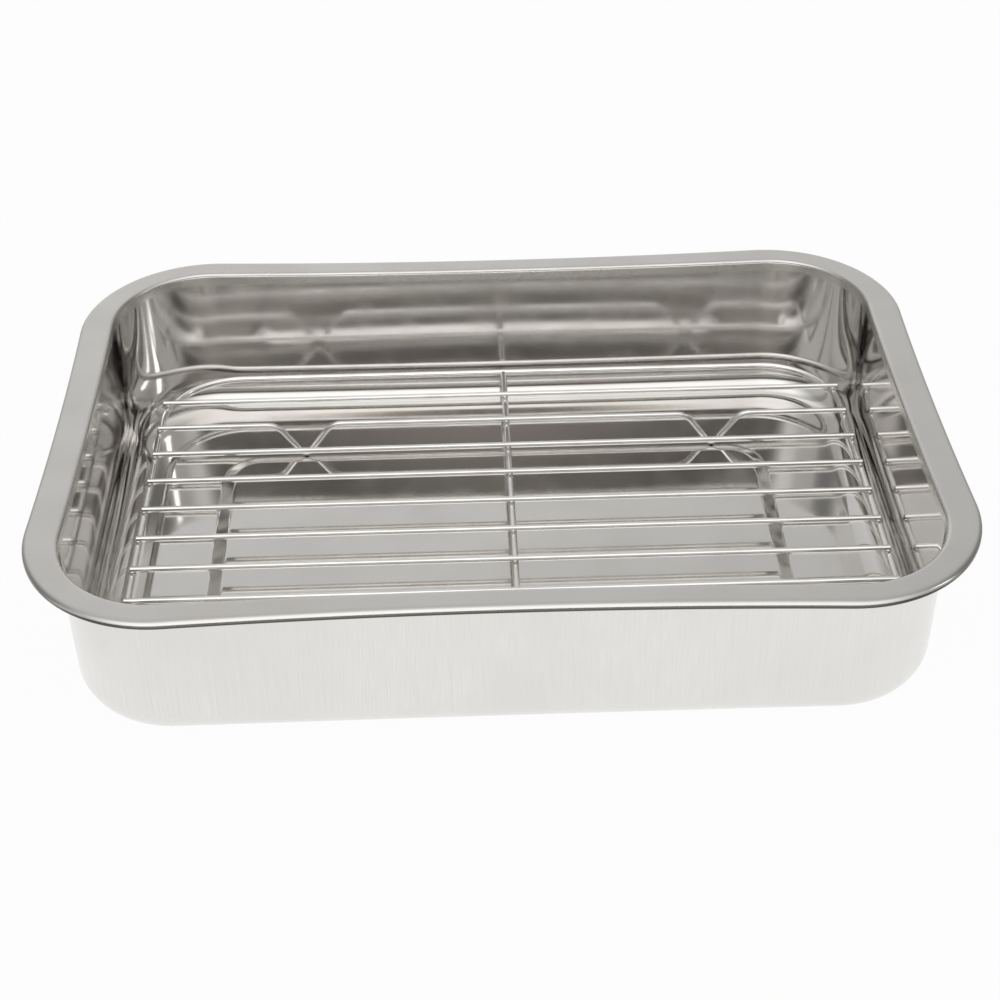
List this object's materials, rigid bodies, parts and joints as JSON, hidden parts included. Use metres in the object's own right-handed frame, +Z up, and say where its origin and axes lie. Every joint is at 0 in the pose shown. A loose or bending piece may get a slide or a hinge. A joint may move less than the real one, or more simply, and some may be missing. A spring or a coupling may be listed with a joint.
{
  "type": "roasting pan with rack",
  "caption": "Deep rectangular steel roasting pan with a rolled flat rim, inward-curving sides and a raised floor panel, holding a loose wire rack that stands on bent feet.",
  "frame": {"origin": "middle of the pan's base, on the surface that the pan stands on", "axes": "+X along the pan's long side and the rails, +Y from the front long side to the back one, +Z up out of the pan"},
  "size_m": [0.4, 0.28, 0.077],
  "materials": {
    "pan_steel": "polished sheet steel, mirror bright inside, finely brushed outside",
    "rack_wire": "bright plated wire with small welds at the crossings"
  },
  "bodies": {
    "pan": {"pan": "pan_steel"},
    "rack": {"rack_frame": "rack_wire", "centre_bar": "rack_wire", "rail_01": "rack_wire", "rail_02": "rack_wire", "rail_03": "rack_wire", "rail_04": "rack_wire", "rail_05": "rack_wire", "rail_06": "rack_wire", "rail_07": "rack_wire", "rail_08": "rack_wire", "rail_09": "rack_wire", "rail_10": "rack_wire"}
  },
  "joints": [
    {"name": "rack_lift", "type": "slide", "parent": "pan", "child": "rack", "axis": [0, 0, 1], "range_m": [0, 0.09]}
  ]
}
